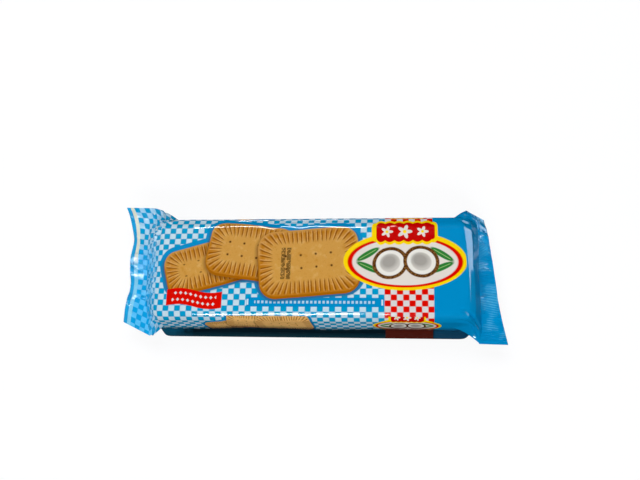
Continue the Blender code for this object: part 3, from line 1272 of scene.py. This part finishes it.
@dataclass
class PackPrint:
    """The print of the film, painted in layers from the check ground up.

    Sizes are in millimetres on the flat film.

    Attributes:
        desk: The desk of the film's material.
        u: The place along the film.
        q: The place across the film.
        inks: The inks.
        column_pitch: From one column of the check ground to the next.
        row_pitch: From one row to the next.
        column_start: Where a column starts.
        row_start: Where a row starts.
        red_band: Where the red band starts and ends along the film.
        flap_start: Where the left flap starts, with the layer below showing through it.
        strip_starts: Where the two plain strips beside the left cut edge start.
        rib_glint_start: Where the painted highlights on the crimp ribs of the plain end start.
        foot_shade_start: Where the painted shade at the foot of the front side starts across the film.
        foot_shade_end: Where it ends.
        picture_reach: How far from the middle of the top any picture reaches.
        side_edge: How far from it the long sides' pictures start.
        side_middle: How far from it the middle of the front side's pictures is.
        back_shift: How much further that is on the back side.
        side_scale: How large the sides' pictures are beside the top's.
        side_row_shift: How far the sides' biscuits are moved along the film.
        side_label_shift: How far the sides' label is.
        side_fade: How much paler than on the top the sides' biscuits are.
        flute_pitch: From one flute of a biscuit's rim to the next.
        prick_pitch: From one pricked dot of a biscuit to the next, along and across.
        low_edge: How far a biscuit's browned lower edge shows.
        jet_pitch: From one ink-jet dot to the next.
        lozenge_pitch: From one lozenge of the ribbon to the next.
        dash_pitch: From one dash of the plain band to the next.
        colour: What is painted so far.
    """

    desk: NodeDesk
    u: Value
    q: Value
    inks: Inks = Inks()

    column_pitch: float = 3.542
    row_pitch: float = 3.447
    column_start: float = 9.32
    row_start: float = -0.45
    red_band: tuple[float, float] = (48.3, 76.45)
    flap_start: float = -87.0
    strip_starts: tuple[float, float] = (-114.5, -116.9)
    rib_glint_start: float = 111.5
    # Where the painted shade at the foot of the front side starts and ends, across the film
    foot_shade_start: float = -43.5
    foot_shade_end: float = -64.0
    picture_reach: float = 60.0
    side_edge: float = 30.6
    side_middle: float = 42.5
    back_shift: float = 3.5
    side_scale: float = 0.55
    side_row_shift: float = -13.0
    side_label_shift: float = 28.0
    side_fade: float = 0.7
    flute_pitch: float = 2.7
    prick_pitch: tuple[float, float] = (9.0, 8.0)
    low_edge: float = 1.6
    jet_pitch: float = 0.62
    lozenge_pitch: float = 3.1
    dash_pitch: float = 2.4

    # The top's pictures
    biscuits: tuple = (
        Patch(-58.0, 0.5, 25.5, 13.5, 8.0, 16.0),
        Patch(-32.0, 9.0, 26.0, 16.5, 9.0, -8.0),
        Patch(3.5, 2.6, 30.0, 20.0, 10.0, 5.0),
    )
    ribbon: Patch = Patch(-64.2, -20.5, 16.8, 4.9)
    dot_place: Patch = Patch(-10.0, 1.0, 2.9, 9.8)
    plain_band: Patch = Patch(7.9, -22.4, 40.3, 2.75)
    band_bars: tuple[float, float] = (-31.7, 47.0)
    label_oval: Patch = Patch(60.0, 2.6, 35.8, 17.9)
    label_face: Patch = Patch(60.0, 2.0, 33.4, 15.6)
    leaves: tuple = (
        Patch(38.5, 6.5, 7.6, 1.9, turn=32.0),
        Patch(39.0, -1.5, 7.6, 1.9, turn=-24.0),
        Patch(81.5, 6.5, 7.6, 1.9, turn=-32.0),
        Patch(81.0, -1.5, 7.6, 1.9, turn=24.0),
    )
    nuts: tuple = (
        Patch(51.5, 1.2, 10.2, 9.4, turn=24.0),
        Patch(69.5, 2.0, 10.2, 9.4, turn=-18.0),
    )
    crest_strip: Patch = Patch(60.0, 20.6, 16.6, 5.4, 2.4)
    flowers: tuple = ((49.6, 0.8), (60.0, 1.0), (70.4, 0.8))
    colour: Any = None

    def __post_init__(self) -> None:
        """Makes the mottling and the grain that the pictures share."""
        self.mottle = self.desk.noise(scale=230.0, detail=3.0, roughness=0.6)
        self.grain = self.desk.noise(scale=900.0, detail=2.0, roughness=0.6)

    def paint(self, colour: Any, mask: Value) -> None:
        """Lays a colour over what is painted so far, where the mask is 1."""
        self.colour = self.desk.mix(mask, self.colour, colour)

    def checks(self) -> Value:
        """Works out the squares of the check ground.

        Returns:
            1 in the coloured squares, and 0 in the white ones.
        """
        columns = ((self.u - self.column_start) * (math.pi / self.column_pitch)).sine()
        rows = ((self.q - self.row_start) * (math.pi / self.row_pitch)).sine()
        return (columns * rows).sum_with("MULTIPLY_ADD", 4.0, 0.5, clamp=True)

    def ground(self) -> None:
        """The check ground, its red band and the plain end."""
        inks = self.inks
        thin = self.thin_film()
        band = self.in_band()
        coloured = self.desk.layers(inks.check_blue, (thin, inks.thin_blue), (band, inks.red))
        white = self.desk.layers(inks.white, (thin, inks.thin_white), (band, inks.warm_white))
        self.colour = self.desk.mix(self.checks(), white, coloured)
        self.paint(inks.blue, (self.red_band[1] - self.u).within())

    def in_band(self) -> Value:
        """1 in the red band, and 0 elsewhere."""
        start, end = self.red_band
        return (abs(self.u - (start + end) / 2) - (end - start) / 2).within()

    def thin_film(self) -> Value:
        """Works out how the blue of the layer below shows through the left flap, in soft bands.

        Returns:
            How much it shows at each point.
        """
        bands = ((self.q - 4.5) * (2 * math.pi / 33.5) + math.pi / 2).sine()
        strength = 0.7 - self.q / 60.0 + bands * 0.25 + self.mottle * 0.3
        return strength.clamped() * ((self.flap_start - self.u) / 11.0).clamped()

    def strips(self) -> None:
        """The plain strips beside the left cut edge. The inner one turns from cream to pale blue."""
        inks = self.inks
        inner = self.desk.mix(((10.0 - self.q) / 8.0).clamped(), inks.cream_strip, inks.pale_strip)
        self.paint(inner, (self.u - self.strip_starts[0]).within())
        self.paint(inks.cut_strip, (self.u - self.strip_starts[1]).within())

    def painted_rib_glints(self) -> None:
        """Painted highlights: pale lines along the crimp ribs of the plain end, in patches, in place of the
        ribs' glints.
        """
        # Painted highlights on the rib crests, in patches
        patches = self.desk.noise(85.0) * 9.0 - 4.6
        glint_mask = patches.clamped() * (self.rib_glint_start - self.u).within(1.5) * (1.3 - self.mottle)
        line = ((self.q * (2 * math.pi)).sine() * 1.6 - 0.2).clamped()
        self.paint(self.inks.rib_glint_blue, line * glint_mask * 0.75)

    def foot(self) -> None:
        """Paints shade onto the foot of the front side, in darker tones of the print above it."""
        inks = self.inks
        wave = self.mottle * 4.0 - 2.0
        # Painted shade: dark tones of the print, teal towards the left end, red under the red band, blue past
        # it, and a little paler towards the lip's outer edge
        shade_tones = self.desk.layers(
            inks.foot,
            (((-70.0 - self.u) / 12.0 + wave * 0.4).clamped(), inks.foot_shade_teal),
            (((-54.0 - self.q) / 3.0).clamped() * 0.5, inks.foot_shade_edge),
            (self.in_band(), inks.foot_shade_red),
            ((self.u - self.red_band[1]).clamped(), inks.foot_shade_blue),
        )
        above_end = ((self.q - self.foot_shade_end) / 3.0).clamped()
        bulge = ((self.u + 52.5) * (math.pi / 45.0)).sine() * 1.3
        self.paint(shade_tones, ((self.foot_shade_start - self.q + wave + bulge) / 7.0).clamped() * above_end)

    def dot_block(self) -> None:
        """A block of small ink-jet dots in two columns."""
        block = self.dot_place
        column = self.u.repeated(self.jet_pitch)
        row = self.q.repeated(self.jet_pitch)
        dot = (column.length_with(row) / self.jet_pitch - 0.46).within(0.2)
        gap = (abs(self.u - block.u) - 0.35).within(0.1)
        chosen = (self.grain * 14.0 - 5.4).clamped()
        place = block.box(self.u, self.q).within(0.2)
        self.paint(self.inks.jet, dot * chosen * place * (1.0 - gap))

    def flutes(self, patch: Patch, x: Value, y: Value) -> Value:
        """Works out the flutes that run out square to a biscuit's rim, and fan round its corners.

        Args:
            patch: The biscuit's place.
            x: Places along the biscuit, from its middle.
            y: Places across the biscuit, from its middle.

        Returns:
            The flutes' phase, in radians.
        """
        straight = patch.half_u - patch.half_q
        held = x.most(-straight).least(straight)
        turn = abs(y).angle_with(abs(x - held))
        right = x.over(0.0) * 2.0 - 1.0
        steps = 2 * math.pi / self.flute_pitch
        return (turn * (steps * patch.half_q * 0.8) - held * right * steps) + 0.6

    def biscuit(self, patch: Patch, u: Value, q: Value, pale: Value) -> None:
        """Paints an oblong biscuit with a fluted rim, pricked dots and a browned lower edge.

        Args:
            patch: Its place in the row.
            u: Places along the row's own layout.
            q: Places across the row's own layout.
            pale: How much paler it is than on the top.
        """
        inks = self.inks
        x, y = patch.local(u, q)
        edge = patch.box(u, q)
        low = replace(patch, q=patch.q - self.low_edge).box(u, q)
        self.paint(inks.biscuit_shade, (low - 1.0).within(3.2) * 0.75)
        self.paint(inks.biscuit_edge, low.within(SOFT_EDGE))
        phase = self.flutes(patch, x, y) + self.mottle * 1.6
        in_rim = (edge / 2.0 + 4.0 + self.mottle).clamped() * (-0.5 - edge).clamped()
        ridge = ((phase - 1.5).sine() * 2.0 - 0.9).clamped() * in_rim
        groove = (phase.sine() * 2.0 - 0.7).clamped() * in_rim
        dot = x.repeated(self.prick_pitch[0]).length_with(y.repeated(self.prick_pitch[1]))
        pricked = (dot - 0.7).within(0.6) * (edge + 9.5).within(0.6)
        lit = (edge * 0.4 + 1.0).clamped() * (y * 0.12).clamped()
        face = self.desk.layers(
            inks.biscuit_rim,
            ((edge * -0.16 - 0.62 + self.mottle * 0.5).clamped(), inks.biscuit),
            (pale, inks.biscuit_pale),
            ((self.mottle * 5.0 - 2.7).clamped() * 0.55, inks.biscuit_light),
            ((2.1 - self.mottle * 5.0).clamped() * 0.6, inks.biscuit_rim),
            ((self.grain * 4.0 - 2.4).clamped() * 0.4, inks.biscuit_groove),
            (ridge * 0.5, inks.biscuit_light),
            (groove * 0.85, inks.biscuit_groove),
            (pricked * 0.9, inks.biscuit_shade),
            (lit * 0.4, inks.biscuit_light),
        )
        self.paint(face, edge.within(SOFT_EDGE))

    def biscuit_row(self, u: Value, q: Value, shown: Value, pale: Value) -> None:
        """A row of three overlapping biscuits with a plain margin round it.

        Args:
            u: Places along the row's own layout.
            q: Places across the row's own layout.
            shown: 1 where the row is printed at all.
            pale: How much paler than the row on the top the biscuits are.
        """
        before = self.colour
        margin = self.biscuits[0].box(u, q)
        for patch in self.biscuits[1:]:
            margin = margin.least(patch.box(u, q))
        self.paint(self.inks.blue, (margin - 3.0).within(SOFT_EDGE))
        for patch in self.biscuits:
            self.biscuit(patch, u, q, pale)
        self.colour = self.desk.mix(shown, before, self.colour)

    def label(self, u: Value, q: Value, shown: Value) -> None:
        """An oval label with two rings round it, leaves and a split coconut on it.

        Args:
            u: Places along the label's own layout.
            q: Places across the label's own layout.
            shown: 1 where the label is printed at all.
        """
        inks = self.inks
        before = self.colour
        face = self.label_face.ellipse(u, q)
        self.paint(inks.yellow, self.label_oval.ellipse(u, q).within(SOFT_EDGE))
        self.paint(inks.red, face.within(SOFT_EDGE))
        self.paint(inks.cream, (face + 1.3).within(SOFT_EDGE))
        for leaf in self.leaves:
            outline = leaf.ellipse(u, q)
            vein = (abs(leaf.local(u, q)[1]) - 0.18).within(FINE_EDGE)
            self.paint(inks.leaf, outline.within(SOFT_EDGE))
            self.paint(inks.leaf_vein, vein * (outline + 0.5).within(FINE_EDGE))
        for nut in self.nuts:
            self.coconut_half(nut, u, q)
        self.crest(u, q)
        self.colour = self.desk.mix(shown, before, self.colour)

    def coconut_half(self, nut: Patch, u: Value, q: Value) -> None:
        """A split coconut seen into: a fibrous shell, a white kernel and a shaded hollow.

        Args:
            nut: Its place on the label.
            u: Places along the label's own layout.
            q: Places across the label's own layout.
        """
        inks = self.inks
        rim = nut.ellipse(u, q)
        shell = self.desk.mix((self.grain * 3.0 - 1.2).clamped(), inks.shell, inks.shell_light)
        self.paint(shell, (rim - self.mottle * 0.5).within(SOFT_EDGE))
        self.paint(inks.kernel, (rim + 1.7).within(FINE_EDGE))
        hollow = replace(nut, half_u=nut.half_u - 4.3, half_q=nut.half_q - 4.0)
        self.paint(inks.kernel_shade, hollow.ellipse(u, q).within(0.8))
        shade = Patch(nut.u - 0.7, nut.q + 0.9, nut.half_u - 5.4, nut.half_q - 5.4, turn=nut.turn)
        self.paint(inks.kernel_deep, shade.ellipse(u, q).within(2.4) * 0.8)

    def crest(self, u: Value, q: Value) -> None:
        """A red strip with scalloped long sides and three plain flowers, over the label's upper edge.

        Args:
            u: Places along the label's own layout.
            q: Places across the label's own layout.
        """
        inks = self.inks
        scallop = abs((u * (math.pi / 5.4)).sine()) * 1.1
        edge = self.crest_strip.box(u, q) - scallop
        self.paint(inks.yellow, (edge - 1.7).within(SOFT_EDGE))
        self.paint(inks.deep_red, edge.within(SOFT_EDGE))
        for middle, size in self.flowers:
            x = (u - middle) / size
            y = (q - self.crest_strip.q) / size
            out = x.length_with(y)
            petals = out - 3.3 - (y.angle_with(x) * 5.0 + math.pi / 2).sine() * 1.2
            self.paint(inks.cream, petals.within(SOFT_EDGE))
            self.paint(inks.yellow, (out - 1.1).within(SOFT_EDGE))

    def banner(self) -> None:
        """A waving ribbon with two rows of small lozenges."""
        ribbon = self.ribbon
        off_end = abs(self.u - ribbon.u)
        run = self.u + 64.0
        sway = (run * (2 * math.pi / 36.0)).sine() * -1.3
        middle = self.q - ribbon.q - sway + run * 0.02
        outline = (off_end - ribbon.half_u).most(abs(middle) - ribbon.half_q)
        self.paint(self.inks.red, outline.within(FINE_EDGE))
        off_tails = (off_end - 13.5).within(FINE_EDGE)
        for row in (-2.0, 2.0):
            step = (run + row / 8.0 * self.lozenge_pitch).repeated(self.lozenge_pitch)
            lozenge = abs(step) + abs(middle - row) - 1.0
            self.paint(self.inks.warm_white, lozenge.within(SOFT_EDGE) * off_tails)

    def dash_band(self) -> None:
        """A plain band with a row of small dashes between two bars."""
        band = self.plain_band
        self.paint(self.inks.blue, band.box(self.u, self.q).within(FINE_EDGE))
        for place in self.band_bars:
            bar = Patch(place, band.q, 0.5, 1.7)
            self.paint(self.inks.white, bar.box(self.u, self.q).within(FINE_EDGE))
        step = self.u.repeated(self.dash_pitch)
        dash = (abs(step) - 0.65).most(abs(self.q - band.q) - 0.8)
        between_bars = (abs(self.u - band.u) - 35.5).within(FINE_EDGE)
        self.paint(self.inks.white, dash.within(FINE_EDGE) * between_bars * 0.8)

    def underside_panel(self) -> None:
        """A bare white panel beside the back seam."""
        panel = Patch(-6.0, 73.0, 58.0, 9.5, 2.0).box(self.u, abs(self.q))
        self.paint(self.inks.blue, (panel - 1.6).within(SOFT_EDGE))
        self.paint(self.inks.warm_white, panel.within(SOFT_EDGE))

    def side_places(self, shift: float) -> tuple[Value, Value, Value]:
        """The places of the top's pictures on the long sides.

        Args:
            shift: How far along the film the side's pictures are moved.

        Returns:
            u and q in the top's own layout, and 1 where a point is on a long side.
        """
        on_side = abs(self.q).over(self.side_edge)
        side_u = (self.u - shift) / self.side_scale
        middle = self.side_middle + self.q.over(0.0) * self.back_shift
        side_q = (middle - abs(self.q)) / self.side_scale
        u = self.u + (side_u - self.u) * on_side
        q = self.q + (side_q - self.q) * on_side
        return u, q, on_side

    def paint_all(self) -> bpy.types.NodeSocket:
        """Paints the whole print.

        Returns:
            The socket with the print's colour.
        """
        self.ground()
        self.strips()
        # Painted highlights along the crimp ribs of the plain end
        self.painted_rib_glints()
        self.underside_panel()
        self.dash_band()
        shown = (abs(self.q) - self.picture_reach).within()
        u, q, on_side = self.side_places(self.side_row_shift)
        self.biscuit_row(u, q, shown, on_side * self.side_fade)
        self.banner()
        self.dot_block()
        u, q, _ = self.side_places(self.side_label_shift)
        self.label(u, q, shown)
        # Painted shade over the foot of the front side
        self.foot()
        return self.colour


@dataclass(frozen=True)
class FilmFinish:
    """Glossy printed film with fine wrinkles.

    Attributes:
        roughness: How blurred its reflections are on average.
        roughness_range: How far that differs from place to place.
        wrinkle: How high its finest wrinkles are, in metres.
        wrinkle_scales: Waves per metre of the fine wrinkles and of the broad ones.
        density: The film's index of refraction.
    """

    roughness: float = 0.07
    roughness_range: float = 0.06
    wrinkle: float = 0.00006
    wrinkle_scales: tuple[float, float] = (420.0, 90.0)
    density: float = 1.45

    def material(self) -> bpy.types.Material:
        """Makes the printed film's material.

        Returns:
            The material.
        """
        desk = NodeDesk("printed film")
        u, q = desk.film_place()
        colour = PackPrint(desk, u, q).paint_all()
        fine = desk.noise(self.wrinkle_scales[0], 3.0, 0.55)
        broad = desk.noise(self.wrinkle_scales[1], 2.0, 0.5)
        inputs = {"Height": broad * 2.0 + fine * 0.25, "Distance": self.wrinkle}
        bump = desk.node("ShaderNodeBump", None, inputs)
        least = self.roughness - self.roughness_range / 2
        desk.shader.inputs["IOR"].default_value = self.density
        desk.feed(desk.shader.inputs["Base Color"], colour)
        desk.feed(desk.shader.inputs["Roughness"], fine * self.roughness_range + least)
        desk.feed(desk.shader.inputs["Normal"], bump.outputs[0])
        return desk.material


class LightShape(Enum):
    """The outlines that a light can have, by Blender's names."""

    OBLONG = "RECTANGLE"
    OVAL = "ELLIPSE"


@dataclass(frozen=True)
class SoftLight:
    """A soft flat light that faces the packet.

    Attributes:
        name: Its name.
        place: Where it hangs, in metres.
        size: Its width and height.
        power: Its power in watts.
        shown: Whether the film reflects it. A light that isn't reflected only brightens.
        lights: Whether it brightens. A card that doesn't only makes a highlight.
        lying: Whether it lies face up instead of facing the packet.
        roll: Its turn in its own plane, in degrees.
        shape: Its outline.
    """

    name: str
    place: tuple[float, float, float]
    size: tuple[float, float]
    power: float
    shown: bool = True
    lights: bool = True
    lying: bool = False
    roll: float = 0.0
    shape: LightShape = LightShape.OBLONG

    def build(self) -> None:
        """Hangs the light."""
        data = bpy.data.lights.new(self.name, "AREA")
        data.shape = self.shape.value
        data.size, data.size_y = self.size
        data.energy = self.power
        light = bpy.data.objects.new(self.name, data)
        light.location = self.place
        facing = Vector((0.0, 0.0, 1.0)) if self.lying else -Vector(self.place)
        turn = facing.to_track_quat("-Z", "Y").to_matrix()
        light.rotation_euler = (turn @ Matrix.Rotation(math.radians(self.roll), 3, "Z")).to_euler()
        light.visible_camera = False
        light.visible_glossy = self.shown
        light.visible_diffuse = self.lights
        bpy.context.scene.collection.objects.link(light)


@dataclass
class Studio:
    """The plain floor and wall, the soft lights and the camera.

    Attributes:
        floor_half: Half the floor's side.
        floor_drop: How far the floor lies under the packet.
        wall_radius: How far off the wall stands.
        wall_height: How high it is.
        wall_sides: Flat sides in its ring.
        paint_colour: The colour of both.
        paint_roughness: How matt they are.
        paint_glow: How bright they shine by themselves.
        world_light: How bright the even light of the room is.
        lens: The camera's focal length, in millimetres.
        sensor: Its sensor's width, in millimetres.
        nearest: How close things may come to it.
        camera_place: Where it is.
        camera_right: Which way is to the right in its picture.
        camera_up: Which way is up in its picture.
        lights: The soft lights.
    """

    floor_half: float = 7.0
    floor_drop: float = 0.0002
    wall_radius: float = 7.0
    wall_height: float = 5.0
    wall_sides: int = 96
    paint_colour: Colour = ink(0x5C5E62)
    paint_roughness: float = 0.8
    paint_glow: float = 0.90
    world_light: float = 0.08
    lens: float = 39.38
    sensor: float = 36.0
    nearest: float = 0.01
    camera_place: tuple = (0.0584770, -0.1187156, 0.4186284)
    camera_right: tuple = (0.99317382, 0.0324141, -0.11204947)
    camera_up: tuple = (0.00561279, 0.94621967, 0.32347616)
    lights: tuple = (
        SoftLight("key", (-0.15, 0.75, 1.05), (1.2, 0.7), 12.5, shown=False),
        SoftLight("front fill", (0.05, -0.98, 0.69), (0.9, 0.3), 10.0, shown=False),
        SoftLight(
            "right card", (0.90, 0.50, 0.50), (0.60, 0.75), 7.2, lights=False, shape=LightShape.OVAL
        ),
        SoftLight("left table card", (-0.50, 0.14, 0.001), (0.7, 0.6), 3.6, lights=False, lying=True),
        SoftLight("front strip", (-0.21, -0.80, 0.95), (0.56, 0.13), 10.0, lights=False, roll=56.0),
        SoftLight("back strip", (-0.23, 0.95, 0.90), (0.45, 0.12), 7.0, lights=False),
    )

    def build_camera(self) -> None:
        """Places the camera at the photograph's viewing angle."""
        data = bpy.data.cameras.new("camera")
        data.lens = self.lens
        data.sensor_width = self.sensor
        data.clip_start = self.nearest
        camera = bpy.data.objects.new("camera", data)
        right = Vector(self.camera_right)
        up = Vector(self.camera_up)
        turn = Matrix((right, up, right.cross(up))).transposed()
        camera.matrix_world = Matrix.Translation(self.camera_place) @ turn.to_4x4()
        bpy.context.scene.collection.objects.link(camera)
        bpy.context.scene.camera = camera

    def pale_paint(self) -> bpy.types.Material:
        """Makes the matt, faintly glowing paint of the floor and the wall.

        Returns:
            The material.
        """
        desk = NodeDesk("pale paint")
        desk.shader.inputs["Base Color"].default_value = self.paint_colour
        desk.shader.inputs["Roughness"].default_value = self.paint_roughness
        desk.shader.inputs["Specular IOR Level"].default_value = 0.0
        desk.shader.inputs["Emission Color"].default_value = WHITE_LIGHT
        desk.shader.inputs["Emission Strength"].default_value = self.paint_glow
        return desk.material

    def stand(self, name: str, shape: bmesh.types.BMesh, paint: bpy.types.Material) -> bpy.types.Object:
        """Makes a stage piece of a shape, out of the film's reflections.

        Args:
            name: The piece's name.
            shape: Its shape, which is freed.
            paint: Its material.

        Returns:
            The piece.
        """
        mesh = bpy.data.meshes.new(name)
        shape.to_mesh(mesh)
        shape.free()
        mesh.materials.append(paint)
        piece = bpy.data.objects.new(name, mesh)
        bpy.context.scene.collection.objects.link(piece)
        piece.visible_glossy = False
        piece.visible_diffuse = False
        return piece

    def build_room(self) -> None:
        """Lays the plain pale floor and stands a plain pale wall far round it."""
        paint = self.pale_paint()
        floor = bmesh.new()
        bmesh.ops.create_grid(floor, x_segments=8, y_segments=8, size=self.floor_half)
        bmesh.ops.translate(floor, verts=floor.verts, vec=(0.0, 0.0, -self.floor_drop))
        self.stand("floor", floor, paint)
        wall = bmesh.new()
        bmesh.ops.create_circle(wall, segments=self.wall_sides, radius=self.wall_radius)
        raised = bmesh.ops.extrude_edge_only(wall, edges=wall.edges[:])["geom"]
        corners = [item for item in raised if isinstance(item, bmesh.types.BMVert)]
        bmesh.ops.translate(wall, verts=corners, vec=(0.0, 0.0, self.wall_height))
        self.stand("wall", wall, paint).visible_shadow = False

    def build_world(self) -> None:
        """Lights the room evenly, out of the film's reflections."""
        world = bpy.data.worlds.new("room")
        bpy.context.scene.world = world
        world.use_nodes = True
        background = world.node_tree.nodes["Background"]
        background.inputs["Color"].default_value = WHITE_LIGHT
        background.inputs["Strength"].default_value = self.world_light
        world.cycles_visibility.glossy = False

    def build(self) -> None:
        """Builds the whole studio."""
        bpy.context.scene.view_settings.view_transform = "Standard"
        self.build_camera()
        self.build_room()
        self.build_world()
        for light in self.lights:
            light.build()


def main() -> None:
    """Builds the packet's pieces and the studio, and reports each piece."""
    logging.basicConfig(level=logging.INFO, format="%(message)s")
    form = FilmForm()
    seals = [EndSeal(form, PackEnd.LEFT, rib_height=0.00007), EndSeal(form, PackEnd.RIGHT)]
    parts = [FilmSleeve(form), *seals, BackFin(form)]
    film = FilmFinish().material()
    for part in parts:
        piece = part.build()
        piece.data.materials.append(film)
        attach(piece, BODY)
        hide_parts(NODE)
        LOG.info("%s: %d faces", piece.name, len(piece.data.polygons))
    Studio().build()


if __name__ == "__main__":
    main()
